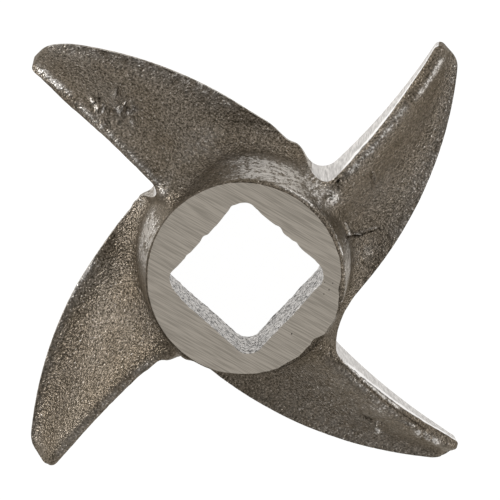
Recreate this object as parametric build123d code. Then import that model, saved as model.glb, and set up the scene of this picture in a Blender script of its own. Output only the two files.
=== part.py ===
"""Meat grinder knife: a cast cross of four swept blades on a square-bored hub.

Millimetres. The origin is on the axis of the drive hole, in the flat cutting plane that lies
against the perforated plate. +Z runs along the axis, up to the machined face of the hub, and the
flats of the drive hole are parallel to X and Y. The first blade points along +X and leads with
its +Y side; the others follow at equal turns.
"""
import os
from math import acos, asin, cos, degrees, radians, sin, sqrt, tan

from build123d import *

# ---- whole knife
BLADES = 4
OVERALL_HEIGHT = 13.3        # cutting plane to the machined face of the hub
TIP_DIAMETER = 62.4          # circle that the blade tips sweep
SQUARE_DRIVE = 12.7          # across the flats: the half-inch drive of a size 12 grinder
SQUARE_CORNER_RADIUS = 1.8   # rounded corners of the cast drive hole

# ---- hub
FACE_DIAMETER = 21.2         # machined face, at its rim
RIM_CHAMFER = 0.2            # broken edge round the machined face
HUB_DRAFT = 5.5              # degrees that the cast flank leans outwards, going down
SHOULDER_FILLET = 2.5        # concave corner between a blade and the hub's flank
RECESS_DIAMETER = 20.0       # round relief in the cutting side
RECESS_DEPTH = 5.4
RECESS_CHAMFER = 0.3         # broken edge at the mouth of the relief

# ---- plan of one blade
LEAD_ARC_RADIUS = 68.0       # hollow sweep of the cutting edge
LEAD_SETBACK = 0.9           # how far the cutting edge lies behind the radial line, at its lowest
LEAD_LOW_POINT = 19.0        # distance from the axis at which it does
BACK_ARC_RADIUS = 44.0       # bulging back of the blade
TIP_WIDTH = 2.8              # from the radial line to the back of the blade, at the tip circle
VALLEY_RADIUS = 2.0          # inside corner between a cutting edge and the next blade's back
TIP_LEAD_RADIUS = 0.7        # corner of the tip at the cutting edge
TIP_BACK_RADIUS = 2.2        # corner of the tip at the back

# ---- section of one blade
LAND = 0.5                   # thickness left at the back of the blade
LAND_SLOPE = 7.0             # degrees at which the top meets the back
FACE_LEAN = 3.3              # degrees that the ground leading face overhangs the cutting edge
CREST_SETBACK = 0.8          # from the top of the leading face to the crest of the ridge
RIDGE_RADIUS = 1.0           # rounding ahead of the crest
RIDGE_ANGLE = 75.0           # degrees that the rounding turns through before it runs straight down
CREST_ROOT_HEIGHT = 9.6      # crest of the ridge beside the hub
CREST_MID_HEIGHT = 8.0       # crest half way out
CREST_TIP_HEIGHT = 3.5       # crest at the tip circle

SECTIONS = 5                 # sections that a blade's top is lofted through
SCOOP_POINTS = 3             # points that each section's scoop runs through
OVERRUN = 2.0                # how far shapes run past the surfaces that trim them

tip_radius = TIP_DIAMETER / 2
face_radius = FACE_DIAMETER / 2
lean = tan(radians(FACE_LEAN))
draft = tan(radians(HUB_DRAFT))
foot_radius = face_radius + OVERALL_HEIGHT * draft   # the hub's flank, in the cutting plane


def back_centre():
    """Centre of the arc of a blade's back: the arc touches the foot of the hub, and cuts the tip
    circle the tip width behind the blade's radial line."""
    reach = BACK_ARC_RADIUS - foot_radius
    spread = (tip_radius**2 + reach**2 - BACK_ARC_RADIUS**2) / (2 * tip_radius * reach)
    angle = acos(spread) - asin(TIP_WIDTH / tip_radius)
    return Vector(reach * cos(angle), reach * sin(angle))


back_arc_centre = back_centre()


def cutting_edge(x):
    """How far ahead of the radial line the cutting edge lies, x out from the axis."""
    return LEAD_ARC_RADIUS - LEAD_SETBACK - sqrt(LEAD_ARC_RADIUS**2 - (x - LEAD_LOW_POINT) ** 2)


def back_edge(x):
    """The same for the back of the blade."""
    return back_arc_centre.Y - sqrt(BACK_ARC_RADIUS**2 - (x - back_arc_centre.X) ** 2)


def crest_height(x):
    """Height of the ridge x out from the axis: the parabola through its three named heights."""
    t = (x - face_radius) / (tip_radius - face_radius)
    start_slope = 4 * CREST_MID_HEIGHT - 3 * CREST_ROOT_HEIGHT - CREST_TIP_HEIGHT
    bend = CREST_TIP_HEIGHT - CREST_ROOT_HEIGHT - start_slope
    return CREST_ROOT_HEIGHT + start_slope * t + bend * t * t


def scoop_height(share, crest, width):
    """Height of the scoop that share of the way from the crest to the back: it falls steeply under
    the crest, flattens towards the back, and meets the land's top at the land's slope."""
    fall = LAND + (crest - LAND) * (1 - share) ** 3 * (1 + 3 * share)
    return fall + tan(radians(LAND_SLOPE)) * width * share**2 * (1 - share)


def around(shape):
    """One copy of the shape for each blade, at equal turns about the axis."""
    return [Rot(0, 0, 360 / BLADES * turn) * shape for turn in range(BLADES)]


def nearest_vertex(shape, x, y):
    """The corner of a flat shape that lies nearest a point."""
    return shape.vertices().sort_by_distance((x, y))[0]


def blade_plan():
    """One blade seen along the axis: cutting edge, tip on the tip circle, and bulging back."""
    end_x = tip_radius + OVERRUN
    mid_x = end_x / 2
    edge = ThreePointArc(*[(x, cutting_edge(x)) for x in (0, mid_x, end_x)])
    back = ThreePointArc(*[(x, back_edge(x)) for x in (end_x, mid_x, -mid_x / 2)])
    root = Polyline(back @ 1, (0, 0), edge @ 0)
    plan = make_face([edge, Line(edge @ 1, back @ 0), back, root])
    plan = plan & Circle(tip_radius)
    plan = fillet(nearest_vertex(plan, tip_radius, cutting_edge(tip_radius)), TIP_LEAD_RADIUS)
    return fillet(nearest_vertex(plan, tip_radius, -TIP_WIDTH), TIP_BACK_RADIUS)


def knife_plan():
    """The whole outline: every blade, with the valleys between them rounded."""
    plan = Sketch() + around(blade_plan())
    valleys = plan.vertices().filter_by(lambda v: v.center().length < foot_radius + VALLEY_RADIUS)
    return fillet(valleys, VALLEY_RADIUS)


def envelope():
    """The outline carried up to the hub's face while it turns ahead, so that every leading face
    overhangs its cutting edge by the lean, measured half way out."""
    plan = knife_plan()
    turn = degrees(OVERALL_HEIGHT * lean / ((face_radius + tip_radius) / 2))
    upper = Pos(0, 0, OVERALL_HEIGHT) * Rot(0, 0, turn) * plan
    return loft([plan.face(), upper.face()], ruled=True)


def blade_section(x):
    """Section across one blade, x out from the axis: a rounded ridge behind the leading face,
    then an S-shaped scoop down to the thin back. Its foot lies below the cutting plane."""
    crest = crest_height(x)
    crest_y = cutting_edge(x) + lean * crest - CREST_SETBACK
    ridge = CenterArc((crest_y, crest - RIDGE_RADIUS), RIDGE_RADIUS, 90 - RIDGE_ANGLE, RIDGE_ANGLE)
    nose = ridge @ 0
    nose_foot_y = nose.X + (nose.Y + OVERRUN) / tan(radians(RIDGE_ANGLE))
    back = Vector(back_edge(x), LAND)
    downhill = Vector(-1, -tan(radians(LAND_SLOPE)))
    tail = back + downhill * OVERRUN
    width = crest_y - back.X
    shares = [(number + 1) / (SCOOP_POINTS + 1) for number in range(SCOOP_POINTS)]
    between = [(crest_y - width * share, scoop_height(share, crest, width)) for share in shares]
    scoop = Spline(ridge @ 1, *between, back, tail, tangents=[(-1, 0), downhill])
    foot = Polyline(tail, (tail.X, -OVERRUN), (nose_foot_y, -OVERRUN), nose)
    across = Plane(origin=(x, 0, 0), x_dir=(0, 1, 0), z_dir=(1, 0, 0))
    return across * make_face([ridge, scoop, foot])


def blade():
    """One blade under its cast top, lofted through sections from behind the axis to past the tip."""
    start = -OVERRUN * 2
    step = (tip_radius + OVERRUN - start) / (SECTIONS - 1)
    return loft([blade_section(start + step * number) for number in range(SECTIONS)])


def hub():
    """The hub as cast, a cone with the flank's draft, run past the cutting plane. The rim of its
    machined face is broken."""
    base_radius = foot_radius + OVERRUN * draft
    rim = (face_radius + RIM_CHAMFER * draft, OVERALL_HEIGHT - RIM_CHAMFER)
    face_edge = (face_radius - RIM_CHAMFER, OVERALL_HEIGHT)
    flank = Polyline((0, -OVERRUN), (base_radius, -OVERRUN), rim, face_edge)
    core = Polyline(face_edge, (0, OVERALL_HEIGHT), (0, -OVERRUN))
    return revolve(Plane.XZ * make_face([flank, core]), Axis.Z)


def arm():
    """The hub with one blade, and the concave shoulder where they meet."""
    core = hub()
    wing = blade()
    joined = core + wing
    meeting = new_edges(core, wing, combined=joined).filter_by(lambda e: (e @ 0.5).Z > 0)
    return fillet(meeting, SHOULDER_FILLET)


def drive_hole():
    """The square hole right through, and the round relief in the cutting side."""
    square = RectangleRounded(SQUARE_DRIVE, SQUARE_DRIVE, SQUARE_CORNER_RADIUS)
    relief_radius = RECESS_DIAMETER / 2
    from_below = (Align.CENTER, Align.CENTER, Align.MIN)
    relief = Cylinder(relief_radius, RECESS_DEPTH, align=from_below)
    mouth = Cone(relief_radius + RECESS_CHAMFER, relief_radius, RECESS_CHAMFER, align=from_below)
    return extrude(square, OVERALL_HEIGHT + OVERRUN) + relief + mouth


def knife():
    """The cast cross, trimmed to the ground outline and bored."""
    cast = Part() + around(arm())
    return (cast & envelope()) - drive_hole()


os.makedirs("parts", exist_ok=True)
export_step(knife(), "parts/knife.step")
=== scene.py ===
"""Meat grinder knife: its cast skin, its ground faces and a pale studio round it.

The knife is one casting, so it is one closed surface. Shapes are worked out in millimetres in the
frame of the CAD: the origin on the axis of the drive hole in the cutting plane, +Z up to the hub's
machined face, the first blade along +X with its cutting edge on its +Y side.
"""
import bmesh
import bpy
import numpy as np
from mathutils import Euler, Matrix, Vector


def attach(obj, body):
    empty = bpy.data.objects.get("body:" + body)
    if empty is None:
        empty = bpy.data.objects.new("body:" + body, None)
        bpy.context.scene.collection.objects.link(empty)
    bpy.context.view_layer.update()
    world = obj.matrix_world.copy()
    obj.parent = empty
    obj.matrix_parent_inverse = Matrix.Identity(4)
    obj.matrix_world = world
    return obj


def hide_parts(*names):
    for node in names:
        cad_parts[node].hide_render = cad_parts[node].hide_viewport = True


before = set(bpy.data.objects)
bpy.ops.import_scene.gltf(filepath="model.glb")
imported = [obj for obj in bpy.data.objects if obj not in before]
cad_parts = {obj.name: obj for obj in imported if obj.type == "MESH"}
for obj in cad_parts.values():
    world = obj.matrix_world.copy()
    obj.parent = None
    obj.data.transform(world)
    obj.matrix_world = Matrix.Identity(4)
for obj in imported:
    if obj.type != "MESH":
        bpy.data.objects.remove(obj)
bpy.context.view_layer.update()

MM = 0.001

# ---- whole knife, as the CAD has it
BLADES = 4
QUARTER = 2 * np.pi / BLADES
HEIGHT = 13.3
TIP_RADIUS = 31.2
SQUARE_DRIVE = 12.7
SQUARE_CORNER_RADIUS = 1.8

# ---- hub
FACE_RADIUS = 10.6
RIM_CHAMFER = 0.2
BEVEL_SLOPE = 0.7            # fall of the rim's bevel for each millimetre that the face falls short
DRAFT = np.tan(np.radians(5.5))
SHOULDER_FILLET = 2.5
RECESS_RADIUS = 10.0
RECESS_DEPTH = 5.4
RECESS_CHAMFER = 0.3
FOOT_RADIUS = FACE_RADIUS + HEIGHT * DRAFT

# ---- plan of one blade
LEAD_ARC_RADIUS = 68.0
LEAD_SETBACK = 0.9
LEAD_LOW_POINT = 19.0
BACK_ARC_RADIUS = 44.0
TIP_WIDTH = 2.8
VALLEY_RADIUS = 2.0
TIP_LEAD_RADIUS = 0.7
TIP_BACK_RADIUS = 2.2

# ---- section of one blade
LAND = 0.5
LAND_SLOPE = np.tan(np.radians(7.0))
LEAN = np.tan(np.radians(3.3))
CREST_SETBACK = 0.8
RIDGE_RADIUS = 1.0
RIDGE_ANGLE = np.radians(75.0)
CREST_HEIGHTS = (9.6, 8.0, 3.5)    # beside the hub, half way out and at the tip circle
TWIST = LEAN / ((FACE_RADIUS + TIP_RADIUS) / 2)   # turn of the outline per millimetre of height
TIP_ROUNDING = 1.1           # widest quarter circle that the top rolls over in at the tip
TIP_ROUNDING_SHARE = 0.8     # and its widest as a share of the blade's height there
BLADE_JOIN = 1.2             # height over which the corner between two blades is filled
LEAST_HEIGHT = 0.3           # of the top, where the land has run out
LEAST_WIDTH = 0.5            # of a scoop, where the back has run into the ridge
NOWHERE = -5.0               # height of a blade's top where it has none
BLADE_START = -4.0           # how far behind the axis a blade's top begins
SETTLING_ROUNDS = 6          # that settle the height of a point that turns as it rises

lead_centre = np.array([LEAD_LOW_POINT, LEAD_ARC_RADIUS - LEAD_SETBACK])


# ---------- plane geometry
def turned(points, angle):
    """Points turned about the axis; the angle may differ from point to point."""
    c, s = np.cos(angle), np.sin(angle)
    x, y = points[..., 0], points[..., 1]
    return np.stack([x * c - y * s, x * s + y * c], axis=-1)


def unit(points):
    return points / np.linalg.norm(points, axis=-1, keepdims=True)


def back_arc_centre():
    """Centre of the back's arc, which touches the hub's foot and cuts the tip circle the tip width
    behind the blade's radial line."""
    reach = BACK_ARC_RADIUS - FOOT_RADIUS
    spread = (TIP_RADIUS**2 + reach**2 - BACK_ARC_RADIUS**2) / (2 * TIP_RADIUS * reach)
    angle = np.arccos(spread) - np.arcsin(TIP_WIDTH / TIP_RADIUS)
    return reach * np.array([np.cos(angle), np.sin(angle)])


back_centre = back_arc_centre()


def circles_meet(first, first_radius, second, second_radius, near):
    """Of the two points where the circles cross, the one nearer the given point."""
    line = second - first
    span = np.hypot(*line)
    along = (first_radius**2 - second_radius**2 + span**2) / (2 * span)
    aside = np.sqrt(first_radius**2 - along**2)
    foot = first + line / span * along
    normal = np.array([-line[1], line[0]]) / span
    options = [foot + normal * aside, foot - normal * aside]
    return min(options, key=lambda p: np.hypot(*(p - near)))


def touch(centre, radius, fillet_centre):
    """The point where a fillet touches the circle that it runs into."""
    return centre + unit(fillet_centre - centre) * radius


def arc(centre, start, end, count=60):
    """Points along the shorter arc about the centre, from start to end."""
    a, b = start - centre, end - centre
    sweep = np.arctan2(a[0] * b[1] - a[1] * b[0], a @ b)
    return centre + turned(np.broadcast_to(a, (count, 2)), np.linspace(0, sweep, count))


def resample(points, shares):
    """Points at the given shares of a polyline's length."""
    steps = np.linalg.norm(np.diff(points, axis=0), axis=1)
    length = np.concatenate([[0], np.cumsum(steps)])
    return np.stack([np.interp(shares * length[-1], length, points[:, i]) for i in (0, 1)], axis=-1)


def cutting_edge(x):
    return lead_centre[1] - np.sqrt(LEAD_ARC_RADIUS**2 - (x - lead_centre[0]) ** 2)


def back_edge(x):
    return back_centre[1] - np.sqrt(BACK_ARC_RADIUS**2 - (x - back_centre[0]) ** 2)


def crest_height(x):
    """The parabola through the ridge's three heights."""
    root, middle, tip = CREST_HEIGHTS
    t = (x - FACE_RADIUS) / (TIP_RADIUS - FACE_RADIUS)
    slope = 4 * middle - 3 * root - tip
    return root + slope * t + (tip - root - slope) * t * t


# ---------- seeded roughness
def lattice_noise(points, size, seed):
    """Smooth noise from -1 to 1: random values on a cubic lattice of that size in millimetres,
    eased from corner to corner."""
    cells = 32
    values = np.random.default_rng(seed).uniform(-1, 1, (cells, cells, cells))
    place = points / size
    cell = np.floor(place).astype(int)
    share = place - cell
    share = share * share * (3 - 2 * share)
    total = 0
    for corner in np.ndindex(2, 2, 2):
        weight = np.prod(np.where(np.array(corner) == 1, share, 1 - share), axis=-1)
        i, j, k = np.moveaxis((cell + corner) % cells, -1, 0)
        total = total + weight * values[i, j, k]
    return total


def unevenness(points, layers):
    """Layers of seeded noise added up. Each has a height, a size and a seed."""
    return sum(height * lattice_noise(points, size, seed) for height, size, seed in layers)


def bell(points, place_x, place_y, degrees, length, width, steepness=1):
    """A bell over an ellipse that lies at that angle: 1 at its middle, 1/e at its rim, and the
    flatter inside the steeper it falls there."""
    c, s = np.cos(np.radians(degrees)), np.sin(np.radians(degrees))
    x, y = points[..., 0] - place_x, points[..., 1] - place_y
    along, aside = (x * c + y * s) / length, (y * c - x * s) / width
    return np.exp(-((along**2 + aside**2) ** steepness))


def round_bell(points, x, y, reach):
    return np.exp(-((points[..., 0] - x) ** 2 + (points[..., 1] - y) ** 2) / reach**2)


# ---------- what casting and grinding left
# Radius of the machined face's edge at angles round the hub, in degrees: it was faced a little off
# centre, and the casting fell short of the full circle beside the fourth blade.
RIM_ANGLES = (-158, -128, -118, -110, -104, -98, -90, -84, -72, -55, -40, -20, 0, 28, 54, 90, 133)
RIM_RADII = (10.5, 10.38, 10.42, 10.2, 10.28, 9.95, 9.85, 10.35, 10.45, 9.9, 10.2, 10.1, 10.1,
             10.25, 10.5, 10.6, 10.42)

# How ragged that edge is at angles round the hub: most on the low side.
RAGGED_ANGLES = (-140, -110, -60, -20, 30)
RAGGED = (0.02, 0.07, 0.07, 0.03, 0.02)

# Layers of seeded noise on that edge, on the cast skin and on the drive hole's wall: height, size
# and seed.
RIM_NOISE = ((1.0, 0.9, 21), (0.7, 0.4, 22))
SKIN_NOISE = ((0.05, 4.0, 11), (0.040, 1.6, 12), (0.026, 0.5, 13))
BORE_NOISE = ((0.05, 0.45, 31), (0.05, 1.3, 32))

# The skin's relief is shallower just below the edge of the machined face: the share of it that is
# left there, and the depth over which the rest comes in.
CALM_SHARE = 0.25
CALM_DEPTH = 0.6

# Where the outline strays from the drawn one: middle of the stretch, push and reach.
STRAYS = (
    (12.3, 3.4, 0.42, 0.10, 0.9),       # burr on the second blade's back, at the valley
    (12.6, 2.4, 0.25, 0.0, 0.6),
    (11.9, 7.2, 0.20, 0.0, 1.8),        # that back swells
    (-2.7, 12.4, -0.22, 0.30, 0.6),     # torn flash in the next valley
    (-3.9, 12.2, -0.05, 0.18, 0.5),
    (-1.7, 12.6, 0.05, -0.32, 0.7),
    (2.2, -12.0, 0.20, -0.34, 1.4),     # full corner in the last valley
    (0.6, -12.8, 0.18, -0.36, 1.2),
    (-10.6, 12.4, 0.02, -0.13, 4.0),    # the third blade's back is a little lean
    (0.3, 31.2, 0.0, -0.30, 2.6),       # the second blade's tip ran short
    (-0.9, 30.6, 0.42, -0.16, 1.1),
    (-31.2, 1.3, -0.22, -0.05, 1.1),    # the third's is full
    (2.9, 30.6, -0.12, -0.22, 1.5),     # the second's corners are worn
    (-0.6, 29.0, 0.38, 0.0, 2.0),
    (30.9, -2.0, -0.15, 0.0, 1.5),      # and the first's a little
    (-1.3, -30.5, -0.12, -0.34, 1.2),   # the fourth's is full
)

# Lumps and hollows of the skin: place, direction of the long axis in degrees, half length, half
# width and height.
LUMPS = (
    (2.2, 24.0, 80, 0.45, 0.24, 0.50),      # slag cluster on the second blade
    (2.0, 23.1, 60, 0.42, 0.22, 0.55),
    (2.5, 22.5, 20, 0.28, 0.20, 0.45),
    (2.8, 21.6, 0, 0.50, 0.36, -0.24),
    (3.3, 21.2, 40, 0.28, 0.24, 0.85),
    (4.0, 21.0, 20, 0.36, 0.18, 0.55),
    (3.9, 20.1, 110, 0.45, 0.18, 0.60),
    (4.5, 19.9, 80, 0.40, 0.18, 0.55),
    (3.4, 20.4, 0, 0.32, 0.26, -0.26),
    (4.4, 21.7, 30, 0.55, 0.18, -0.15),
    (1.9, 21.4, 70, 0.65, 0.26, -0.30),
    (4.2, 22.4, 10, 0.45, 0.20, 0.40),
    (3.4, 19.2, 60, 0.45, 0.22, 0.30),
    (2.9, 23.4, 40, 0.30, 0.20, -0.35),
    (2.6, 20.6, 100, 0.35, 0.20, 0.40),
    (-4.2, -21.8, 100, 1.10, 0.28, -0.60),  # hollow and lumps on the fourth blade
    (-4.6, -23.7, 100, 0.45, 0.26, 0.60),
    (-4.0, -22.9, 60, 0.40, 0.20, 0.45),
    (-3.5, -23.2, 100, 0.55, 0.18, -0.45),
    (-4.9, -21.0, 100, 0.60, 0.40, 0.18),
    (-3.6, -20.6, 90, 0.90, 0.50, 0.16),
    (-1.3, -26.6, 80, 0.50, 0.30, 0.24),    # its rough crest
    (-1.2, -25.2, 110, 0.55, 0.25, 0.22),
    (-1.0, -27.7, 60, 0.40, 0.25, 0.20),
    (-0.9, -28.6, 100, 0.45, 0.25, 0.22),
    (-1.7, -27.2, 20, 0.35, 0.20, -0.20),
    (12.4, -1.6, 60, 0.70, 0.50, 0.26),     # rough knob at the first blade's root
    (12.0, -2.3, 30, 0.40, 0.30, 0.20),
    (13.1, -1.2, 0, 0.35, 0.25, -0.16),
    (16.1, -3.6, 75, 0.60, 0.14, -0.06),    # the small fold further out
    (15.5, -4.4, 60, 0.45, 0.14, -0.08),
    (16.4, -4.6, 70, 0.50, 0.20, 0.12),
    (13.8, -0.8, 20, 0.20, 0.12, -0.35),    # a blow hole
    (28.6, -1.4, 5, 2.00, 0.35, 0.14),      # proud ridge near each tip
    (0.9, 28.4, 95, 2.20, 0.40, 0.12),
    (-1.2, -28.3, 95, 1.80, 0.50, 0.10),
    (-28.0, 1.6, 5, 2.00, 0.50, 0.08),
    (-12.0, -1.0, 0, 1.60, 1.30, 0.70),     # full corner ahead of the third blade
    (-13.9, 0.2, 0, 1.60, 0.80, 0.26),
    (0.8, 12.3, 20, 0.90, 0.50, 0.22),      # torn skin on the second blade's root
    (1.6, 12.6, 60, 0.40, 0.25, -0.16),
)

# Cold shuts and folds: the two ends of each crack, its depth, and the height of the lip along its
# left side.
CRACKS = (
    (9.0, -5.6, 9.4, -6.5, 0.14, 0.16),     # the folded crack at the first blade's root
    (9.4, -6.5, 9.8, -7.5, 0.18, 0.24),
    (9.8, -7.5, 10.4, -8.1, 0.20, 0.30),
    (10.4, -8.1, 11.0, -8.5, 0.20, 0.30),
    (11.0, -8.5, 11.6, -8.9, 0.18, 0.26),
    (11.6, -8.9, 11.9, -8.5, 0.12, 0.20),
    (10.2, -5.0, 9.4, -6.4, 0.14, 0.20),    # its branch
    (16.6, -3.2, 15.9, -3.9, 0.08, 0.12),   # the small fold further out
    (15.9, -3.9, 15.2, -4.9, 0.08, 0.12),
)
CRACK_WIDTH = 0.12
CRACK_TOP = 10.0        # height on the hub's flank where the cracks have run out
CRACK_FADE = 2.0        # height over which they do
CRACK_TONE = 3.5        # painted shade in a crack and painted highlight on its lip, for each millimetre of depth

# Light and shade painted into the skin's colour, painted highlight and reflection above 0, painted
# shade below 0: place, direction of the long axis, half length, half width and tone.
TONES = (
    (12.3, -1.7, 60, 0.80, 0.55, 0.85),     # painted highlight on the knob
    (0.8, 12.3, 10, 1.10, 0.60, 0.75),      # painted highlight on the torn skin of the second blade's root
    (2.2, 24.0, 80, 0.50, 0.22, 1.00),      # painted highlights on the tops of the slag
    (2.0, 23.1, 60, 0.45, 0.22, 1.00),
    (3.3, 21.2, 40, 0.32, 0.28, 1.20),
    (4.0, 21.0, 20, 0.40, 0.18, 1.00),
    (3.9, 20.1, 110, 0.45, 0.18, 1.00),
    (4.5, 19.9, 80, 0.45, 0.20, 1.00),
    (2.8, 21.7, 0, 0.30, 0.18, -0.35),      # painted shade in its hollows
    (3.7, 20.6, 30, 0.30, 0.14, -0.35),
    (3.3, 21.6, 80, 2.20, 1.20, 0.30),      # skin round it
    (2.4, 22.6, 30, 0.40, 0.16, 0.90),
    (4.2, 22.4, 10, 0.40, 0.14, 0.60),
    (3.3, 19.3, 60, 0.45, 0.20, 0.60),
    (-4.2, -21.8, 100, 1.10, 0.22, -0.80),  # painted shade in the hollow and painted highlights on the lumps of the fourth blade
    (-4.6, -23.7, 100, 0.45, 0.28, 0.90),
    (-4.0, -22.9, 60, 0.40, 0.20, 0.60),
    (-2.1, -21.4, 95, 1.70, 0.75, 0.30),
    (-1.35, -26.5, 80, 0.85, 0.50, 0.85),   # painted highlights and shade on its rough crest
    (-1.15, -25.0, 110, 0.60, 0.22, 0.70),
    (-1.00, -28.4, 95, 1.50, 0.52, 0.80),
    (-1.7, -27.6, 60, 0.60, 0.16, -0.60),
    (-5.0, -18.5, 80, 9.00, 5.00, 0.36),    # painted light on the scoops of the fourth and the first
    (16.0, -6.0, -35, 5.00, 2.50, 0.20),
    (5.6, 11.8, -20, 3.00, 1.60, 0.40),     # painted light on the roots of two backs
    (8.8, -9.6, -45, 2.00, 1.40, 0.40),
    (-8.8, 9.6, 45, 2.00, 1.50, -0.22),     # painted shade on the root and back of the third
    (-22.0, 5.8, 22, 8.00, 1.50, -0.40),
    (-12.3, 3.5, 80, 4.50, 1.20, -0.30),
    (-3.1, 12.1, 40, 0.70, 0.50, 0.60),     # painted highlights on the burrs in the second valley
    (-12.5, 11.15, 12, 3.60, 0.22, 0.90),   # painted glints on the thin edges of two backs
    (10.35, 17.1, -77, 2.80, 0.20, 0.80),
    (13.8, -0.8, 20, 0.20, 0.12, -0.90),    # painted shade in the blow hole
    (11.3, -3.6, 0, 0.70, 0.90, -0.30),     # painted shade in the crevice beside the hub
)

# The same in strips along a blade's crest, most of them painted highlight where the rounded nose
# catches the light: the blade, the two ends of the strip, its distance from the crest, its half
# width and the tone.
CREST_TONES = (
    (0, 24.8, 31.0, -0.50, 0.38, 0.85),
    (0, 14.0, 24.8, 0.0, 0.42, 0.74),
    (1, 25.5, 31.0, -0.10, 0.42, 1.00),
    (1, 12.0, 25.5, 0.15, 0.42, 0.62),
    (2, 12.0, 30.0, 0.25, 0.45, 0.42),
    (3, 14.0, 25.0, -0.05, 0.38, 0.25),
    (3, 13.5, 23.5, 0.62, 0.18, 1.00),      # flash along the fourth, painted as a bright line; no fin is built
    (3, 13.5, 27.5, 0.36, 0.12, -0.90),     # and the seam behind it
)

# Painted highlight along each blade's back, where the casting thins out.
BACK_STRIP_TONES = (0.45, 0.50, 0.42, 0.15)
BACK_STRIP_WIDTH = 1.4

# How far a strip takes to come in at the end by the hub, and to go at the other.
STRIP_ENDS = (1.5, 1.0)

# Painted light and shade at angles round the hub: on the flank, a painted reflection of the pale
# surroundings with painted shade where it turns from them, and just outside the machined face, a
# line of painted crevice shade and glints.
FLANK_ANGLES = (-75, -50, -38, -20, -5, 12, 27, 41, 52, 62, 80, 96, 103, 110, 124, 138, 155, 200)
FLANK_TONES = (-0.3, 0.80, 0.8, -0.1, 0.5, 0.85, 0.90, 0.85, 0.4, -0.2, -0.3, -0.1, 0.8, 1.00, 0.9,
               0.2, -0.2, -0.2)
LINE_ANGLES = (-130, -110, -80, -60, -45, -25, -12, 5, 20, 40, 60, 80, 95, 180, 215)
LINE_TONES = (-0.8, -0.9, -0.9, -0.3, 0.8, 1.0, 0.1, 1.0, 0.8, -0.4, -0.3, 0.3, -0.8, -0.9, -0.5)
FLANK_REACH = 1.6       # how far beyond its foot the flank's tone reaches
FLANK_LOW = 3.0         # height from which it comes in, and the height that it takes
LINE_DEPTH = 0.7        # how far below the face the line's tone reaches
LINE_FADE = 0.2         # height over which it comes in
LINE_REACH = 0.5        # how far beyond the face's drawn edge it may lie

# Nicks and swellings of the drive hole's upper edge: place, push outward and reach. They fade over
# NICK_DEPTH below it.
NICKS = (
    (6.4, -1.35, 0.14, 0.35), (6.4, 1.0, 0.16, 0.40), (6.4, 3.2, -0.06, 0.9),
    (6.4, 0.1, -0.05, 0.4), (0.35, 6.4, 0.15, 0.35), (4.8, 6.4, 0.12, 0.30),
    (2.6, 6.4, -0.07, 0.8), (-2.4, 6.4, 0.08, 0.4), (-3.6, 6.4, -0.05, 0.5),
    (-3.2, 6.4, -0.10, 3.0), (2.2, 6.4, -0.10, 3.0), (-6.3, 5.0, -0.30, 1.2),
)
NICK_DEPTH = 1.0

# Blow holes in the machined face: place and radius. They are not cut; each is painted dark as the
# shade inside it, from PIT_RIM times its radius in.
PITS = ((5.0, -7.4, 0.055), (5.8, -7.2, 0.045), (4.3, -7.3, 0.05), (-1.2, -7.7, 0.06),
        (5.3, -6.5, 0.04))
PIT_RIM = 1.5


def rim_radius(angle):
    """Radius of the machined face's edge at an angle round the hub."""
    degrees = np.degrees(angle)
    round_hub = np.stack([np.cos(angle), np.sin(angle), 0 * angle], axis=-1) * FACE_RADIUS
    ragged = np.interp(degrees, RAGGED_ANGLES, RAGGED, period=360)
    return (np.interp(degrees, RIM_ANGLES, RIM_RADII, period=360)
            + ragged * unevenness(round_hub, RIM_NOISE))


def strayed(plan):
    """Plan points moved with the outline where it strays: each push fades as a bell."""
    moved = plan.copy()
    for x, y, push_x, push_y, reach in STRAYS:
        moved += round_bell(plan, x, y, reach)[..., None] * np.array([push_x, push_y])
    return moved


def crack_bells(points, start_x, start_y, end_x, end_y):
    """Bells across a crack and across the lip along its left side, by each point's distance from
    the line between the crack's ends. Both fade where the cracks run out on the hub's flank."""
    x, y = points[..., 0] - start_x, points[..., 1] - start_y
    run_x, run_y = end_x - start_x, end_y - start_y
    span = np.hypot(run_x, run_y)
    along, aside = (x * run_x + y * run_y) / span, (run_x * y - run_y * x) / span
    past = np.maximum(np.maximum(-along, along - span), 0)
    low = np.clip((CRACK_TOP - points[..., 2]) / CRACK_FADE, 0, 1)
    gap = np.exp(-(past**2 + aside**2) / CRACK_WIDTH**2)
    lip = np.exp(-(past**2 + (aside - 2 * CRACK_WIDTH) ** 2) / CRACK_WIDTH**2)
    return low * gap, low * lip


def skin_relief(points):
    """How far the cast skin stands out from the drawn surface: seeded unevenness, bells for lumps
    and hollows, and a narrow trough with a lip for each crack."""
    out = unevenness(points, SKIN_NOISE)
    for place_x, place_y, degrees, length, width, height in LUMPS:
        out = out + height * bell(points, place_x, place_y, degrees, length, width, steepness=2)
    for *ends, depth, lip_height in CRACKS:
        gap, lip = crack_bells(points, *ends)
        out = out + lip_height * lip - depth * gap
    return out


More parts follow.
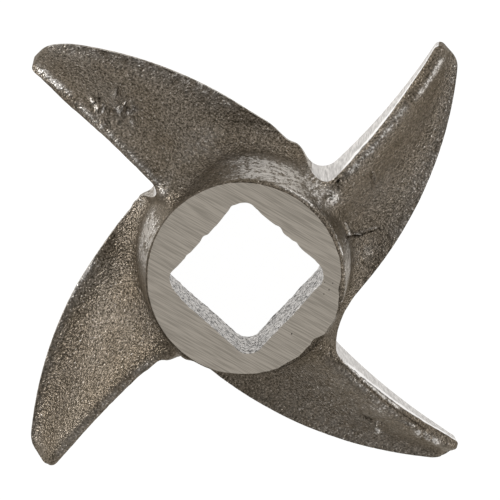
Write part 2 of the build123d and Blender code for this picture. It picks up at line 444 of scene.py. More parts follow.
# ---------- the cast top
def blade_height(x, y):
    """Height of one blade's cast top in its own frame: a quarter-round nose that runs straight
    down ahead of the crest, and an S-shaped quartic behind it that ends on the thin land."""
    crest = crest_height(x)
    crest_y = cutting_edge(x) + LEAN * crest - CREST_SETBACK
    ahead = y - crest_y
    turn_out = RIDGE_RADIUS * np.sin(RIDGE_ANGLE)
    round_nose = np.sqrt(np.maximum(RIDGE_RADIUS**2 - np.clip(ahead, 0, turn_out) ** 2, 0))
    straight = np.maximum(ahead - turn_out, 0) * np.tan(RIDGE_ANGLE)
    front = crest - RIDGE_RADIUS + round_nose - straight
    width = np.maximum(crest_y - back_edge(x), LEAST_WIDTH)
    v = np.clip(-ahead / width, 0, 1)
    scoop = LAND + (crest - LAND) * (1 - v) ** 3 * (1 + 3 * v)
    scoop += LAND_SLOPE * width * v**2 * (1 - v)
    beyond = np.maximum(-ahead - width, 0) * LAND_SLOPE
    return np.where(ahead > 0, front, scoop - beyond)


def smooth_max(a, b, reach):
    """The larger of two heights, with the corner between them filled over that reach."""
    near = np.maximum(reach - np.abs(a - b), 0) / reach
    return np.maximum(a, b) + near * near * reach / 4


def top_height(points):
    """Height of the whole cast top over plan points: the blades joined to each other with a soft
    corner and to the hub's draughted flank by a rolling-ball shoulder. At the tip circle the top
    rolls over as a quarter circle."""
    radius = np.hypot(points[..., 0], points[..., 1])
    cast = np.full(radius.shape, NOWHERE)
    for blade in range(BLADES):
        own = turned(points, -QUARTER * blade)
        height = blade_height(own[..., 0], own[..., 1])
        height = np.where(own[..., 0] > BLADE_START, height, NOWHERE)
        cast = smooth_max(cast, height, BLADE_JOIN)
    cast = np.maximum(cast, LEAST_HEIGHT)
    nose = np.minimum(TIP_ROUNDING, TIP_ROUNDING_SHARE * cast)
    inside = np.clip(TIP_RADIUS - radius, 0, nose)
    cast = cast - nose + np.sqrt(nose**2 - (nose - inside) ** 2)
    flank = HEIGHT - (radius - FACE_RADIUS) / DRAFT
    foot = FACE_RADIUS + (HEIGHT - cast - SHOULDER_FILLET) * DRAFT
    out = np.clip(radius - foot, 0, SHOULDER_FILLET)
    ball = cast + SHOULDER_FILLET - np.sqrt(SHOULDER_FILLET**2 - (SHOULDER_FILLET - out) ** 2)
    return np.where(radius < foot, flank, ball)


def lifted(plan):
    """Plan points carried up to the cast top. The outline turns ahead as it rises, so each point
    turns by the twist times its height; a few rounds settle the height. The top stops below the
    machined face by the bevel, which is wider where the face falls short. The relief is then added
    along the normal."""
    plan = strayed(plan)
    angle = np.arctan2(plan[..., 1], plan[..., 0])
    short = np.maximum(FACE_RADIUS - RIM_CHAMFER - rim_radius(angle), 0)
    bevel = RIM_CHAMFER + BEVEL_SLOPE * short
    height = top_height(plan)
    for _ in range(SETTLING_ROUNDS):
        place = turned(plan, TWIST * height)
        height = np.minimum(top_height(place), HEIGHT - bevel)
    step = 0.02
    slope_x = (top_height(place + [step, 0]) - top_height(place - [step, 0])) / (2 * step)
    slope_y = (top_height(place + [0, step]) - top_height(place - [0, step])) / (2 * step)
    normal = unit(np.stack([-slope_x, -slope_y, np.ones_like(height)], axis=-1))
    smooth = np.concatenate([place, height[..., None]], axis=-1)
    share = CALM_SHARE + (1 - CALM_SHARE) * np.clip((HEIGHT - bevel - height) / CALM_DEPTH, 0, 1)
    return smooth + normal * (skin_relief(smooth) * share)[..., None]


def at_height(plan, z):
    """Plan points at the given heights, turned ahead by the twist."""
    z = np.broadcast_to(z, plan.shape[:-1])
    return np.concatenate([turned(plan, TWIST * z), z[..., None]], axis=-1)


def strip(x, start, end, aside, width):
    """A bell across a line that runs from start to end along a blade, with soft ends."""
    come, go = STRIP_ENDS
    ends = np.clip((x - start) / come, 0, 1) * np.clip((end - x) / go, 0, 1)
    return ends * np.exp(-((aside / width) ** 2))


def skin_tone(points):
    """Light and shade painted into the cast skin at each point, bright up to 1 or dark down to -1:
    bells for the places in the table, painted highlights in strips along each crest and back,
    painted shade in each crack with a painted highlight on its lip, painted reflection and shade on
    the hub's flank by angle, and over all these the painted crevice shade and glints of the line
    round the machined face."""
    plan, z = points[..., :2], points[..., 2]
    tone = np.zeros(z.shape)
    for place_x, place_y, degrees, length, width, value in TONES:
        tone = tone + value * bell(points, place_x, place_y, degrees, length, width)
    for blade, start, end, offset, width, value in CREST_TONES:
        own = turned(plan, -QUARTER * blade)
        crest = crest_height(own[..., 0])
        aside = own[..., 1] - cutting_edge(own[..., 0]) - LEAN * crest + CREST_SETBACK - offset
        tone = tone + value * strip(own[..., 0], start, end, aside, width)
    for blade, value in enumerate(BACK_STRIP_TONES):
        own = turned(plan, -QUARTER * blade)
        inside = BACK_ARC_RADIUS - np.linalg.norm(own - back_centre, axis=-1)
        tone = tone + value * strip(own[..., 0], FACE_RADIUS, TIP_RADIUS, inside, BACK_STRIP_WIDTH)
    for *ends, depth, _ in CRACKS:
        gap, lip = crack_bells(points, *ends)
        tone = tone + CRACK_TONE * depth * (lip - gap)
    degrees = np.degrees(np.arctan2(plan[..., 1], plan[..., 0]))
    radius = np.hypot(plan[..., 0], plan[..., 1])
    steep = np.clip((FOOT_RADIUS + FLANK_REACH - radius) / FLANK_REACH, 0, 1)
    steep = steep * np.clip((z - FLANK_LOW) / FLANK_LOW, 0, 1)
    tone = tone + steep * np.interp(degrees, FLANK_ANGLES, FLANK_TONES, period=360)
    line = np.clip((z - HEIGHT + LINE_DEPTH) / LINE_FADE, 0, 1)
    line = line * (radius < FACE_RADIUS + LINE_REACH)
    edge = np.interp(degrees, LINE_ANGLES, LINE_TONES, period=360)
    return np.clip(tone + line * (edge - tone), -1, 1)


# ---------- outline of the first blade
next_back_centre = turned(back_centre, QUARTER)
valley_centre = circles_meet(lead_centre, LEAD_ARC_RADIUS - VALLEY_RADIUS,
                             next_back_centre, BACK_ARC_RADIUS + VALLEY_RADIUS, np.array([14, 1]))
lead_corner = circles_meet(lead_centre, LEAD_ARC_RADIUS + TIP_LEAD_RADIUS,
                           np.zeros(2), TIP_RADIUS - TIP_LEAD_RADIUS, np.array([30, 0]))
back_corner = circles_meet(back_centre, BACK_ARC_RADIUS - TIP_BACK_RADIUS,
                           np.zeros(2), TIP_RADIUS - TIP_BACK_RADIUS, np.array([29, -2]))
valley = touch(valley_centre, VALLEY_RADIUS, np.zeros(2))
edge_start = touch(lead_centre, LEAD_ARC_RADIUS, valley_centre)
edge_end = touch(lead_centre, LEAD_ARC_RADIUS, lead_corner)
tip_start = touch(np.zeros(2), TIP_RADIUS, lead_corner)
tip_end = touch(np.zeros(2), TIP_RADIUS, back_corner)
back_start = touch(back_centre, BACK_ARC_RADIUS, back_corner)
back_end = turned(touch(next_back_centre, BACK_ARC_RADIUS, valley_centre), -QUARTER)
last_valley_centre = turned(valley_centre, -QUARTER)
last_valley = turned(valley, -QUARTER)

ALONG = 110        # rows of the grid from the blade's root to its tip
ACROSS = 72        # columns from its cutting edge to its back
STRIP = 48         # columns round the hub, along the back's root and the valley behind it
VALLEY = 12        # columns round the valley ahead
FLANK_ROWS = 18    # rows down the hub's flank
FLANK_INSET = 0.1  # how far inside the flank's foot those end
ROOT_ROWS = 22     # rows from there to the root outline
BORE_ROWS = 20     # rows up the drive hole's wall
WALL_ROWS = 8      # rows up a wall of the outline
FACE_ROWS = 6      # rows across the machined face
BASE_ROWS = 2      # rows across the cutting side, round the relief
EVENED_ROWS = 34   # rows at the tip that are evened out
EVENING_ROUNDS = 900
LONG_ARC = 200     # points along a long arc, before it is resampled
HALF_CORNER = 20   # points along half of a tip's corner

VALLEY_RISE = 0.6          # the painted reflection band runs out before the valley
REFLECTION_BAND_START = 16    # rows from the blade's root over which it comes in
RIM_TONE = -0.5            # painted shade where the skin meets the machined face
TIP_TONE = -0.2
BACK_TONES = (0.1, 0.8, 0.8, 0.1)      # painted glint on the thin edge of each blade's back, bright on two of them


def eased(count, start_step):
    """Shares from 0 to 1 whose first steps are finer than the rest by that factor."""
    t = np.linspace(0, 1, count + 1)
    return start_step * t + (1 - start_step) * t * t * (1.5 - 0.5 * t)


def root_outline():
    """The outer ends of the rays round the hub: the valley ahead, straight across the root of the
    blade, and its back's root with the valley behind."""
    ahead = arc(valley_centre, valley, edge_start, VALLEY + 1)
    root_back = np.array([edge_start[0], back_edge(edge_start[0])])
    across = edge_start + eased(ACROSS, start_step=0.45)[:, None] * (root_back - edge_start)
    behind = np.concatenate([arc(back_centre, root_back, back_end),
                             arc(last_valley_centre, back_end, last_valley)[1:]])
    behind = resample(behind, np.linspace(0, 1, STRIP + 1))
    return ahead, across, behind


def root_rays():
    """Plan grid of the hub's flank and the blade's root: straight rays from the machined face's
    rim to the root outline, closer together on the steep flank."""
    ahead, across, behind = root_outline()
    outer = np.concatenate([ahead, across[1:], behind[1:]])
    rim = unit(outer) * (FACE_RADIUS + RIM_CHAMFER * DRAFT)
    foot = unit(outer) * (FOOT_RADIUS - FLANK_INSET)
    steep = np.linspace(0, 1, FLANK_ROWS + 1)[:, None, None]
    wide = eased(ROOT_ROWS, start_step=0.5)[1:, None, None]
    return np.concatenate([rim + steep * (foot - rim), foot + wide * (outer - foot)])


def blade_quad():
    """Plan grid of the blade beyond its root, blended from its four sides as a Coons patch. Near
    the rounded tip each point is then moved to the mean of its four neighbours, many times over, to
    even out the quads there."""
    _, root, _ = root_outline()
    half = HALF_CORNER
    ahead = arc(lead_corner, edge_end, tip_start, 2 * half + 1)
    behind = arc(back_corner, tip_end, back_start, 2 * half + 1)
    edge = arc(lead_centre, edge_start, edge_end, LONG_ARC)
    end = arc(np.zeros(2), tip_start, tip_end)
    lead = np.concatenate([edge, ahead[1:half + 1]])
    tip = np.concatenate([ahead[half:], end[1:], behind[1:half + 1]])
    back = arc(back_centre, root[-1], back_start, LONG_ARC)
    back = np.concatenate([back, behind[half:-1][::-1]])
    u = np.linspace(0, 1, ALONG + 1)
    v = np.linspace(0, 1, ACROSS + 1)
    lead, back, tip = resample(lead, u), resample(back, u), resample(tip, v)
    share = np.linalg.norm(root - root[0], axis=1) / np.linalg.norm(root[-1] - root[0])
    u, v = u[:, None, None], v[None, :, None]
    w = (1 - u) * share[None, :, None] + u * v
    sides = (1 - w) * lead[:, None] + w * back[:, None]
    ends = (1 - u) * root[None] + u * tip[None]
    corners = (1 - u) * ((1 - w) * lead[0] + w * back[0]) + u * ((1 - w) * lead[-1] + w * back[-1])
    patch = sides + ends - corners
    for _ in range(EVENING_ROUNDS):
        near = patch[-EVENED_ROWS:]
        near[1:-1, 1:-1] = (near[:-2, 1:-1] + near[2:, 1:-1] + near[1:-1, :-2] + near[1:-1, 2:]) / 4
    return patch


root_plan = root_rays()
blade_plan = blade_quad()


# ---------- one closed skin
SKIN, GROUND, FACED, BORED = range(4)      # material slots of the knife
MERGE_DISTANCE = 0.002         # between points that are one
HARD_EDGE = np.radians(38)     # turn between two faces from which their edge is hard


def put(name, data):
    """A new object in the scene, with the given mesh, lamp or lens."""
    thing = bpy.data.objects.new(name, data)
    bpy.context.scene.collection.objects.link(thing)
    return thing


class Skin:
    """Collects grids of points and flat faces, then makes them one mesh. Each face corner carries a
    tone: from -1, painted shade, to 1, painted highlight and reflection, on the cast skin, and the
    share of the face's height on a ground one."""

    def __init__(self):
        self.points, self.faces, self.kinds, self.tones, self.count = [], [], [], [], 0

    def grid(self, points, kind, tone=0.0):
        """Quads over a grid of points of shape (rows, columns, 3)."""
        rows, columns = points.shape[:2]
        index = np.arange(rows * columns).reshape(rows, columns)
        quads = np.stack([index[:-1, :-1], index[1:, :-1], index[1:, 1:], index[:-1, 1:]], axis=-1)
        quads = quads.reshape(-1, 4)
        self.faces += (quads + self.count).tolist()
        self.kinds += [kind] * len(quads)
        self.tones.append(np.broadcast_to(tone, (rows, columns)).reshape(-1)[quads].reshape(-1))
        self.points.append(points.reshape(-1, 3))
        self.count += rows * columns

    def flat(self, points, kind):
        """One flat face round the given points."""
        self.faces.append(list(range(self.count, self.count + len(points))))
        self.kinds.append(kind)
        self.tones.append(np.zeros(len(points)))
        self.points.append(points)
        self.count += len(points)

    def piece(self, name):
        """The mesh in metres, with doubles merged, faces turned outward, hard edges marked and the
        belt-ground faces left flat."""
        mesh = bpy.data.meshes.new(name)
        mesh.from_pydata(np.concatenate(self.points) * MM, [], self.faces)
        mesh.polygons.foreach_set("material_index", self.kinds)
        tone = mesh.attributes.new("tone", "FLOAT", "CORNER")
        tone.data.foreach_set("value", np.concatenate(self.tones))
        soup = bmesh.new()
        soup.from_mesh(mesh)
        bmesh.ops.remove_doubles(soup, verts=soup.verts, dist=MERGE_DISTANCE * MM)
        bmesh.ops.recalc_face_normals(soup, faces=soup.faces)
        soup.to_mesh(mesh)
        soup.free()
        mesh.shade_smooth()
        kinds = np.empty(len(mesh.polygons), int)
        mesh.polygons.foreach_get("material_index", kinds)
        mesh.polygons.foreach_set("use_smooth", kinds != FACED)
        mesh.set_sharp_from_angle(angle=HARD_EDGE)
        return put(name, mesh)


def cast(skin, plan):
    """A stretch of the cast top."""
    points = lifted(plan)
    skin.grid(points, SKIN, skin_tone(points))
    return points


def wall(skin, plan_line, kind, tone):
    """A ground or cast wall from the cutting plane up to the edge of the cast top."""
    top = lifted(plan_line)
    foot = at_height(strayed(plan_line), 0.0)
    share = np.linspace(0, 1, WALL_ROWS + 1)[:, None, None]
    skin.grid(foot + share * (top - foot), kind, tone)


def rounded_square(directions):
    """Where rays from the axis meet the drive hole: its flats, and circles in its corners."""
    half = SQUARE_DRIVE / 2
    x, y = np.abs(directions[..., 0]), np.abs(directions[..., 1])
    reach = half / np.maximum(x, y)
    middle = half - SQUARE_CORNER_RADIUS
    along = (x + y) * middle
    corner = along + np.sqrt(np.maximum(along**2 - 2 * middle**2 + SQUARE_CORNER_RADIUS**2, 0))
    in_corner = np.minimum(x, y) * reach > middle
    return directions * np.where(in_corner, corner, reach)[..., None]


def bored_wall(ring):
    """The drive hole's cast wall, from the relief up to the face: the rounded square with seeded
    unevenness across the wall, and nicks that fade below its upper edge."""
    height = np.linspace(RECESS_DEPTH, HEIGHT, BORE_ROWS + 1)[:, None]
    square = np.broadcast_to(rounded_square(ring), (BORE_ROWS + 1, *ring.shape))
    points = np.concatenate([square, np.broadcast_to(height, square.shape[:2])[..., None]], axis=-1)
    out = unevenness(points, BORE_NOISE)
    high = np.clip(1 - (HEIGHT - height) / NICK_DEPTH, 0, 1)
    for x, y, push, reach in NICKS:
        out = out + push * round_bell(points, x, y, reach) * high
    points[..., :2] += ring * out[..., None]
    return points


def sheet(skin, inner, outer, rows, kind):
    """A ruled surface from one line of points to another."""
    share = np.linspace(0, 1, rows + 1)[:, None, None]
    skin.grid(inner + share * (outer - inner), kind)


def top_and_walls(skin, blade, root, quad):
    """One blade's cast top with its quarter of the hub's flank, and the walls below its outline.
    Gives the line where the top meets the bevel round the machined face."""
    rim = cast(skin, root)[0]
    cast(skin, quad)
    outline = root[-1]
    rise = np.linspace(0, 1, WALL_ROWS + 1)[:, None]
    # how far along the blade the painted reflection band has come in
    second = np.clip(np.arange(ALONG + 1) / REFLECTION_BAND_START, 0, 1)
    wall(skin, outline[:VALLEY + 1], GROUND, VALLEY_RISE * rise)
    wall(skin, quad[:, 0], GROUND, rise * (VALLEY_RISE + (1 - VALLEY_RISE) * second))
    wall(skin, quad[-1], SKIN, TIP_TONE)
    # the back walls carry the painted glint of BACK_TONES
    wall(skin, quad[:, -1], SKIN, BACK_TONES[blade])
    wall(skin, outline[VALLEY + ACROSS:], SKIN, BACK_TONES[blade])
    return rim


def face_and_hole(skin, rim):
    """A quarter of the bevel, the machined face, the drive hole and the relief below it. Gives the
    line of the relief's mouth in the cutting side."""
    ring = unit(rim[:, :2])
    bore = bored_wall(ring)
    edge = rim_radius(np.arctan2(ring[:, 1], ring[:, 0]))[:, None]
    face_edge = np.insert(ring * edge, 2, HEIGHT, axis=1)
    tone = skin_tone(rim)
    # the bevel is painted with the crevice shade of RIM_TONE at the face's edge and the skin's
    # painted light and shade below
    skin.grid(np.stack([face_edge, rim]), SKIN, np.stack([np.full_like(tone, RIM_TONE), tone]))
    sheet(skin, bore[-1], face_edge, FACE_ROWS, FACED)
    skin.grid(bore, BORED)
    relief = [np.insert(ring * radius, 2, level, axis=1) for radius, level in (
        (RECESS_RADIUS, RECESS_DEPTH), (RECESS_RADIUS, RECESS_CHAMFER),
        (RECESS_RADIUS + RECESS_CHAMFER, 0.0))]
    skin.grid(np.stack([bore[0]] + relief), FACED)
    return relief[-1]


def cutting_side(skin, mouth, root, quad):
    """The flat ground side under one blade: a sheet out from the relief, a strip of quads from the
    cutting edge to the back, and one face at each end of the strip."""
    foot, sides = at_height(strayed(root[-1]), 0.0), at_height(strayed(quad), 0.0)
    sheet(skin, mouth, foot, BASE_ROWS, FACED)
    skin.grid(sides[1:-1][:, [0, -1]], FACED)
    skin.flat(np.concatenate([sides[0], sides[1, [-1, 0]]]), FACED)
    skin.flat(np.concatenate([sides[-1], sides[-2, [-1, 0]]]), FACED)


def knife_skin():
    skin = Skin()
    for blade in range(BLADES):
        root, quad = turned(root_plan, QUARTER * blade), turned(blade_plan, QUARTER * blade)
        rim = top_and_walls(skin, blade, root, quad)
        mouth = face_and_hole(skin, rim)
        cutting_side(skin, mouth, root, quad)
    return skin


knife = knife_skin().piece("knife_casting")
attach(knife, "root")
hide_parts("knife")


# ---------- materials
def linear(code):
    """A colour written as sRGB hex, turned linear for Blender."""
    channels = np.array([int(code[i:i + 2], 16) for i in (0, 2, 4)]) / 255
    lin = np.where(channels <= 0.04045, channels / 12.92, ((channels + 0.055) / 1.055) ** 2.4)
    return (*lin.tolist(), 1.0)


def add(tree, kind, settings, links):
    """Adds a shader node. Settings are its own properties; links give each input a value or the
    output that feeds it."""
    made = tree.nodes.new("ShaderNode" + kind)
    for key, value in settings.items():
        setattr(made, key, value)
    for key, value in links.items():
        if isinstance(value, bpy.types.NodeSocket):
            tree.links.new(value, made.inputs[key])
        else:
            made.inputs[key].default_value = value
    return made


RGBA = {"data_type": "RGBA"}     # setting of a Mix node that mixes colours


def metal(name, metallic):
    """A new material with its shader, and the place on the piece that its patterns read."""
    material = bpy.data.materials.new(name)
    material.use_nodes = True
    tree = material.node_tree
    shader = tree.nodes["Principled BSDF"]
    shader.inputs["Metallic"].default_value = metallic
    place = add(tree, "TexCoord", {}, {}).outputs["Object"]
    return material, tree, shader, place


def per_metre(millimetres):
    """The scale of a noise whose features are that size."""
    return 1 / (millimetres * MM)


def cast_skin():
    """Cast steel, sand moulded and tumbled: a dark warm oxide with an orange-peel grain about a
    quarter of a millimetre wide. A few tops of the grain are bare metal; where the tone is high the
    skin is painted paler in patches and more tops turn pale, as painted highlight and reflection,
    and where it is low it is painted dark as shade. The oxide keeps grazing reflections dull."""
    material, tree, shader, place = metal("cast_steel_skin", 0.85)
    tone = add(tree, "Attribute", {"attribute_name": "tone"}, {}).outputs["Fac"]
    grain = add(tree, "TexNoise", {}, {
        "Vector": place, "Scale": per_metre(0.23), "Detail": 1.5, "Roughness": 0.6}).outputs[0]
    peel = add(tree, "TexNoise", {}, {
        "Vector": place, "Scale": per_metre(0.7), "Detail": 2.0}).outputs[0]
    cloud = add(tree, "TexNoise", {}, {
        "Vector": place, "Scale": per_metre(5.0), "Detail": 3.0}).outputs[0]
    oxide = add(tree, "MapRange", {}, {
        "Value": grain, "From Min": 0.34, "From Max": 0.66}).outputs[0]
    colour = add(tree, "Mix", RGBA, {0: oxide, 6: linear("453f35"), 7: linear("867c70")}).outputs[2]
    patch = add(tree, "MapRange", {}, {
        "Value": cloud, "From Min": 0.35, "From Max": 0.65}).outputs[0]
    warmth = add(tree, "Mix", RGBA, {0: patch, 6: linear("f4f0e9"), 7: linear("ffffff")}).outputs[2]
    colour = add(tree, "Mix", {**RGBA, "blend_type": "MULTIPLY"}, {
        0: 1.0, 6: colour, 7: warmth}).outputs[2]
    # Painted highlight: where the tone is high the skin is painted paler in patches and more tops
    # of the grain turn pale.
    painted_highlight = add(tree, "Math", {"operation": "MULTIPLY", "use_clamp": True}, {
        0: tone, 1: 0.45}).outputs[0]
    broken = add(tree, "MapRange", {}, {
        "Value": peel, "From Min": 0.32, "From Max": 0.66, "To Min": 0.2, "To Max": 1.4}).outputs[0]
    patchy = add(tree, "Math", {"operation": "MULTIPLY", "use_clamp": True}, {
        0: painted_highlight, 1: broken}).outputs[0]
    top = add(tree, "Math", {"operation": "MULTIPLY_ADD"}, {
        0: patchy, 1: tone, 2: grain}).outputs[0]
    rubbed = add(tree, "MapRange", {}, {
        "Value": top, "From Min": 0.66, "From Max": 0.84}).outputs[0]
    # Painted shade: where the tone is low the skin is painted dark.
    fouled = add(tree, "MapRange", {}, {
        "Value": tone, "From Min": -0.05, "From Max": -1.0, "To Max": 0.9}).outputs[0]
    for share, code in ((patchy, "aba6a0"), (rubbed, "cfcac4"), (fouled, "1c1712")):
        colour = add(tree, "Mix", RGBA, {0: share, 6: colour, 7: linear(code)}).outputs[2]
    tree.links.new(colour, shader.inputs["Base Color"])
    shader.inputs["Specular Tint"].default_value = linear("c4beb4")
    roughness = add(tree, "MapRange", {}, {
        "Value": rubbed, "To Min": 0.36, "To Max": 0.30}).outputs[0]
    tree.links.new(roughness, shader.inputs["Roughness"])
    under = add(tree, "Bump", {}, {"Height": peel, "Distance": 0.14 * MM}).outputs[0]
    relief = add(tree, "Bump", {}, {
        "Height": grain, "Distance": 0.20 * MM, "Normal": under}).outputs[0]
    tree.links.new(relief, shader.inputs["Normal"])
    return material


def ground_edge():
    """Steel ground on a wheel: bright, with fine marks that run up the face. A narrow band below
    its upper edge is painted brighter still, a painted reflection of the pale surroundings where
    the hollow-ground face tips over, and scale is left on the edge itself."""
    material, tree, shader, place = metal("steel_ground_bright", 1.0)
    rise = add(tree, "Attribute", {"attribute_name": "tone"}, {}).outputs["Fac"]
    upright = add(tree, "Mapping", {}, {"Vector": place, "Scale": (1, 1, 0.06)}).outputs[0]
    marks = add(tree, "TexNoise", {}, {
        "Vector": upright, "Scale": per_metre(0.18), "Detail": 2.0}).outputs[0]
    blotch = add(tree, "TexNoise", {}, {
        "Vector": place, "Scale": per_metre(0.9), "Detail": 3.0}).outputs[0]
    wavering = add(tree, "Math", {"operation": "MULTIPLY_ADD"}, {
        0: blotch, 1: 0.3, 2: rise}).outputs[0]
    drawn = add(tree, "MapRange", {}, {
        "Value": marks, "From Min": 0.32, "From Max": 0.68}).outputs[0]
    colour = add(tree, "Mix", RGBA, {0: drawn, 6: linear("a29d98"), 7: linear("dad6d1")}).outputs[2]
    # painted reflection: a white band below the edge, where the hollow-ground face would mirror the
    # pale surroundings
    second = add(tree, "MapRange", {}, {
        "Value": wavering, "From Min": 0.84, "From Max": 0.92}).outputs[0]
    scale = add(tree, "MapRange", {}, {
        "Value": wavering, "From Min": 1.08, "From Max": 1.12}).outputs[0]
    for share, code in ((second, "f4f1ee"), (scale, "3b342b")):
        colour = add(tree, "Mix", RGBA, {0: share, 6: colour, 7: linear(code)}).outputs[2]
    tree.links.new(colour, shader.inputs["Base Color"])
    shader.inputs["Roughness"].default_value = 0.42
    relief = add(tree, "Bump", {}, {"Height": marks, "Distance": 0.015 * MM}).outputs[0]
    tree.links.new(relief, shader.inputs["Normal"])
    return material


FACING_DIRECTION = np.radians(-78.0)     # which way the hub was drawn across the grinding belt


def faced_steel():
    """Steel surface-ground on a belt: straight lines a tenth of a millimetre apart, all one way,
    with a deeper score here and there and a few blow holes."""
    material, tree, shader, place = metal("steel_belt_ground", 1.0)
    along = add(tree, "Mapping", {}, {
        "Vector": place, "Rotation": Euler((0, 0, -FACING_DIRECTION))}).outputs[0]
    fine_place = add(tree, "Mapping", {}, {"Vector": along, "Scale": (0.03, 1, 0.05)}).outputs[0]
    fine = add(tree, "TexNoise", {}, {
        "Vector": fine_place, "Scale": per_metre(0.09), "Detail": 1.0}).outputs[0]
    score_place = add(tree, "Mapping", {}, {
        "Vector": along, "Scale": (0.02, 1, 0.05), "Location": (0, 0.01, 0)}).outputs[0]
    score = add(tree, "TexNoise", {}, {
        "Vector": score_place, "Scale": per_metre(0.17), "Detail": 2.0,
        "Roughness": 0.6}).outputs[0]
    cloud = add(tree, "TexNoise", {}, {
        "Vector": place, "Scale": per_metre(4.0), "Detail": 2.0}).outputs[0]
    line = add(tree, "MapRange", {}, {"Value": fine, "From Min": 0.38, "From Max": 0.60}).outputs[0]
    colour = add(tree, "Mix", RGBA, {0: line, 6: linear("afa79b"), 7: linear("cdc4b7")}).outputs[2]
    scored = add(tree, "MapRange", {}, {
        "Value": score, "From Min": 0.38, "From Max": 0.30, "To Max": 0.38}).outputs[0]
    colour = add(tree, "Mix", RGBA, {0: scored, 6: colour, 7: linear("8a8277")}).outputs[2]
    # painted shade of the blow holes, which are not cut
    for x, y, radius in PITS:
        gap = add(tree, "VectorMath", {"operation": "DISTANCE"}, {
            0: place, 1: (x * MM, y * MM, HEIGHT * MM)}).outputs["Value"]
        hole = add(tree, "MapRange", {}, {
            "Value": gap, "From Min": PIT_RIM * radius * MM, "From Max": radius * MM}).outputs[0]
        colour = add(tree, "Mix", RGBA, {0: hole, 6: colour, 7: linear("1d1a17")}).outputs[2]
    tree.links.new(colour, shader.inputs["Base Color"])
    roughness = add(tree, "MapRange", {}, {
        "Value": cloud, "From Min": 0.3, "From Max": 0.7,
        "To Min": 0.38, "To Max": 0.46}).outputs[0]
    tree.links.new(roughness, shader.inputs["Roughness"])
    under = add(tree, "Bump", {}, {"Height": score, "Distance": 0.006 * MM}).outputs[0]
    relief = add(tree, "Bump", {}, {
        "Height": fine, "Distance": 0.004 * MM, "Normal": under}).outputs[0]
    tree.links.new(relief, shader.inputs["Normal"])
    return material


def bored_steel():
    """The cast wall of the drive hole: coarse grit a third of a millimetre wide, rubbed bright by
    the drive, with dark gouges between."""
    material, tree, shader, place = metal("cast_steel_rubbed", 0.9)
    grit = add(tree, "TexNoise", {}, {
        "Vector": place, "Scale": per_metre(0.34), "Detail": 3.0, "Roughness": 0.65,
        "Distortion": 0.6}).outputs[0]
    bare = add(tree, "MapRange", {}, {"Value": grit, "From Min": 0.42, "From Max": 0.55}).outputs[0]
    colour = add(tree, "Mix", RGBA, {0: bare, 6: linear("3a3530"), 7: linear("dcd8d3")}).outputs[2]
    tree.links.new(colour, shader.inputs["Base Color"])
    shader.inputs["Roughness"].default_value = 0.40
    relief = add(tree, "Bump", {}, {"Height": grit, "Distance": 0.14 * MM}).outputs[0]
    tree.links.new(relief, shader.inputs["Normal"])
    return material


for finish in (cast_skin, ground_edge, faced_steel, bored_steel):
    knife.data.materials.append(finish())


# ---------- studio
FLOOR_SIZE = 5.0               # metres
FLOOR_GLOW = 0.97              # how white the floor shows
SOFTBOX_DISTANCE = 2.6         # metres

# The camera looks down on the knife from a little to one side, through a very long lens.
CAMERA_TURN = (np.radians(4.5), np.radians(13.1), np.radians(43.25))   # roll, tilt and turn
FRAME_PIXELS = 500
PIXELS_PER_METRE = 9315.0      # at the knife's origin
DISTANCE_PIXELS = 10000.0      # from the camera to there, at that scale
AIM_PIXELS = (243.6, 250.05)   # where the origin shows
SENSOR_WIDTH = 36              # millimetres, as the lens is given


def floor():
    """A square sheet of white paper, far larger than the knife. It shows white and keeps the
    knife's shadow, and metal that mirrors it sees it as white as the eye does."""
    half = FLOOR_SIZE / 2
    mesh = bpy.data.meshes.new("floor")
    mesh.from_pydata([(-half, -half, 0), (half, -half, 0), (half, half, 0), (-half, half, 0)], [],
                     [(0, 1, 2, 3)])
    material = bpy.data.materials.new("matt_white_paper")
    material.use_nodes = True
    tree = material.node_tree
    shader = tree.nodes["Principled BSDF"]
    shader.inputs["Base Color"].default_value = linear("6a6a6a")
    shader.inputs["Roughness"].default_value = 0.9
    shader.inputs["Specular IOR Level"].default_value = 0.0
    shader.inputs["Emission Color"].default_value = (1, 1, 1, 1)
    rays = add(tree, "LightPath", {}, {}).outputs
    seen = rays["Is Camera Ray"]
    for kind in ("Is Glossy Ray", "Is Transmission Ray"):
        seen = add(tree, "Math", {"operation": "MAXIMUM"}, {0: seen, 1: rays[kind]}).outputs[0]
    glow = add(tree, "Math", {"operation": "MULTIPLY"}, {0: seen, 1: FLOOR_GLOW}).outputs[0]
    tree.links.new(glow, shader.inputs["Emission Strength"])
    mesh.materials.append(material)
    put("floor", mesh)


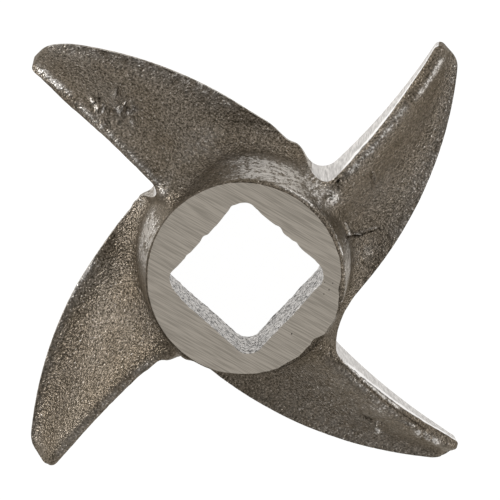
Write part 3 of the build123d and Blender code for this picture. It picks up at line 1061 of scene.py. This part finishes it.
def softbox(name, towards, size, power):
    """A square softbox that faces the knife from the given direction."""
    light = bpy.data.lights.new(name, "AREA")
    light.size = size
    light.energy = power
    thing = put(name, light)
    thing.location = Vector(towards).normalized() * SOFTBOX_DISTANCE
    thing.rotation_euler = thing.location.to_track_quat("Z", "Y").to_euler()


def studio_air():
    """Pale surroundings: white at the horizon, where the eye sees them, and a soft grey above."""
    world = bpy.data.worlds.new("studio_air")
    bpy.context.scene.world = world
    world.use_nodes = True
    tree = world.node_tree
    direction = add(tree, "TexCoord", {}, {}).outputs["Generated"]
    up = add(tree, "SeparateXYZ", {}, {"Vector": direction}).outputs["Z"]
    level = add(tree, "MapRange", {"interpolation_type": "SMOOTHSTEP"}, {
        "Value": up, "From Min": 0.05, "From Max": 0.40, "To Min": 0.95, "To Max": 0.52}).outputs[0]
    tree.links.new(level, tree.nodes["Background"].inputs["Strength"])
    tree.nodes["Background"].inputs["Color"].default_value = (1, 1, 1, 1)


def camera():
    roll, tilt, turn = CAMERA_TURN
    look = (Matrix.Rotation(roll, 3, "Z") @ Matrix.Rotation(tilt, 3, "X")
            @ Matrix.Rotation(turn, 3, "Z"))
    middle = FRAME_PIXELS / 2
    aim_x, aim_y = AIM_PIXELS
    offset = Vector((aim_x - middle, middle - aim_y, -DISTANCE_PIXELS)) / PIXELS_PER_METRE
    lens = bpy.data.cameras.new("camera")
    lens.lens = DISTANCE_PIXELS / FRAME_PIXELS * SENSOR_WIDTH
    lens.sensor_width = SENSOR_WIDTH
    lens.clip_start = 0.01
    lens.clip_end = 10
    thing = put("camera", lens)
    place = -(look.transposed() @ offset)
    thing.matrix_world = Matrix.Translation(place) @ look.transposed().to_4x4()
    bpy.context.scene.camera = thing


floor()
softbox("key", (-0.28, 0.95, 0.12), 0.6, 50)
softbox("side", (0.95, 0.14, 0.26), 0.8, 12)
softbox("fill", (0.20, -0.96, 0.16), 0.8, 14)
studio_air()
camera()
bpy.context.scene.view_settings.view_transform = "Standard"
